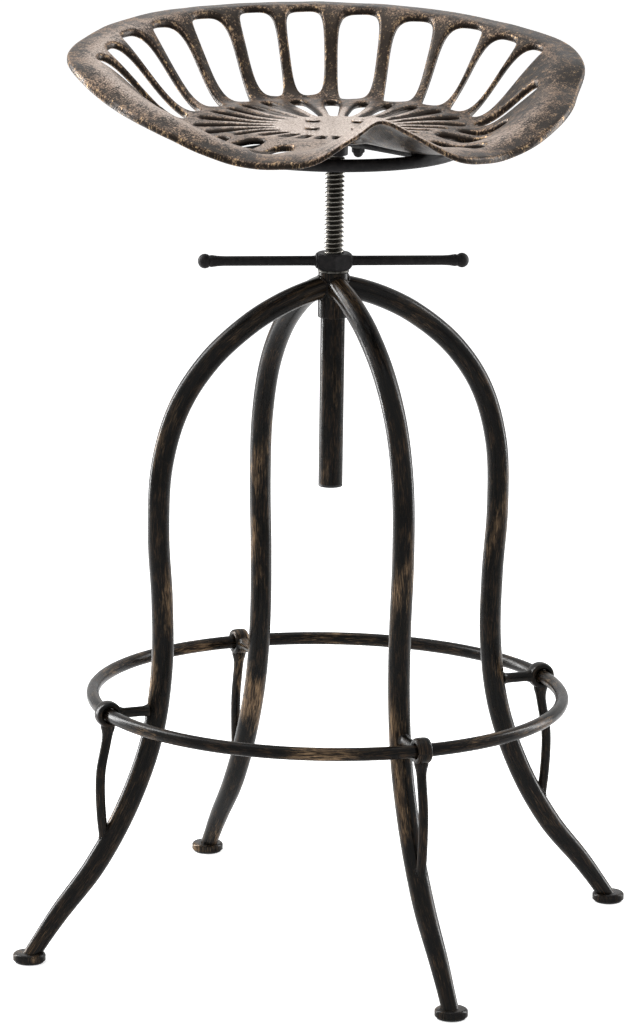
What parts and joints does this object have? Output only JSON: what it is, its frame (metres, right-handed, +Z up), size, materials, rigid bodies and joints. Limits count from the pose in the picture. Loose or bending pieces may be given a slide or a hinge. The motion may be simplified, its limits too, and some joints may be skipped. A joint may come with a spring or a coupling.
{
  "type": "tractor seat bar stool",
  "caption": "Bar stool with a slotted cast tractor seat on a screw spindle, a T-bar lock nut, bent tube legs and a round foot ring.",
  "frame": {"origin": "on the floor, straight under the spindle's axis", "axes": "+Z up along the spindle; one leg lies along each of +X, +Y, -X and -Y; the seat's open front faces close to -Y at rest, 8.5 degrees towards -X"},
  "size_m": [0.5806, 0.5806, 0.7904],
  "materials": {
    "frame_paint": "black paint rubbed with bronze, satin",
    "seat_bronze": "antique bronze rubbed over black, grained casting",
    "bare_steel": "bare turned steel, lightly oiled",
    "satin_black": "satin black paint",
    "zinc_plate": "dull zinc plate",
    "black_plastic": "matt moulded black plastic",
    "white_nylon": "natural nylon"
  },
  "bodies": {
    "frame": {"hub": "frame_paint", "guide_tube": "frame_paint", "tube_end_plug": "black_plastic", "foot_ring": "frame_paint", "leg_right": "frame_paint", "leg_back": "frame_paint", "leg_left": "frame_paint", "leg_front": "frame_paint", "foot_cup_right": "frame_paint", "foot_cup_back": "frame_paint", "foot_cup_left": "frame_paint", "foot_cup_front": "frame_paint", "foot_glide_right": "black_plastic", "foot_glide_back": "black_plastic", "foot_glide_left": "black_plastic", "foot_glide_front": "black_plastic", "ring_eye_right": "frame_paint", "ring_eye_back": "frame_paint", "ring_eye_left": "frame_paint", "ring_eye_front": "frame_paint", "ring_strut_right": "frame_paint", "ring_strut_back": "frame_paint", "ring_strut_left": "frame_paint", "ring_strut_front": "frame_paint", "ring_stay_right": "frame_paint", "ring_stay_back": "frame_paint", "ring_stay_left": "frame_paint", "ring_stay_front": "frame_paint"},
    "lock_washer": {"thrust_washer": "zinc_plate"},
    "lock_handle": {"lock_nut": "satin_black", "t_bar_right": "satin_black", "t_bar_left": "satin_black", "t_ball_right": "satin_black", "t_ball_left": "satin_black"},
    "lift_bush": {"guide_bush": "white_nylon"},
    "seat": {"spindle": "bare_steel", "bush_washer": "zinc_plate", "bush_screw": "zinc_plate", "spindle_collar": "satin_black", "hand_ring": "satin_black", "seat_casting": "seat_bronze", "seat_arm_1": "satin_black", "seat_arm_2": "satin_black", "seat_arm_3": "satin_black", "seat_arm_4": "satin_black", "seat_bolt_1": "zinc_plate", "seat_bolt_2": "zinc_plate", "seat_bolt_3": "zinc_plate", "seat_bolt_4": "zinc_plate", "seat_washer_1": "zinc_plate", "seat_washer_2": "zinc_plate", "seat_washer_3": "zinc_plate", "seat_washer_4": "zinc_plate", "cap_nut_1": "satin_black", "cap_nut_2": "satin_black", "cap_nut_3": "satin_black", "cap_nut_4": "satin_black"}
  },
  "joints": [
    {"name": "seat_height", "type": "slide", "parent": "frame", "child": "lift_bush", "axis": [0, 0, 1], "range_m": [-0.0661, 0.0461]},
    {"name": "seat_turn", "type": "hinge", "parent": "lift_bush", "child": "seat", "pos_m": [0, 0, 0.6], "axis": [0, 0, 1], "range_deg": [-5940, 4140]},
    {"name": "lock_lift", "type": "slide", "parent": "frame", "child": "lock_washer", "axis": [0, 0, 1], "range_m": [0, 0.0101]},
    {"name": "lock_turn", "type": "hinge", "parent": "lock_washer", "child": "lock_handle", "pos_m": [0, 0, 0.6], "axis": [0, 0, 1], "range_deg": [0, 900]}
  ],
  "couplings": [
    {"joint": "seat_height", "follows": "seat_turn", "m_per_rad": 0.00063662},
    {"joint": "lock_lift", "follows": "lock_turn", "m_per_rad": 0.00063662}
  ]
}
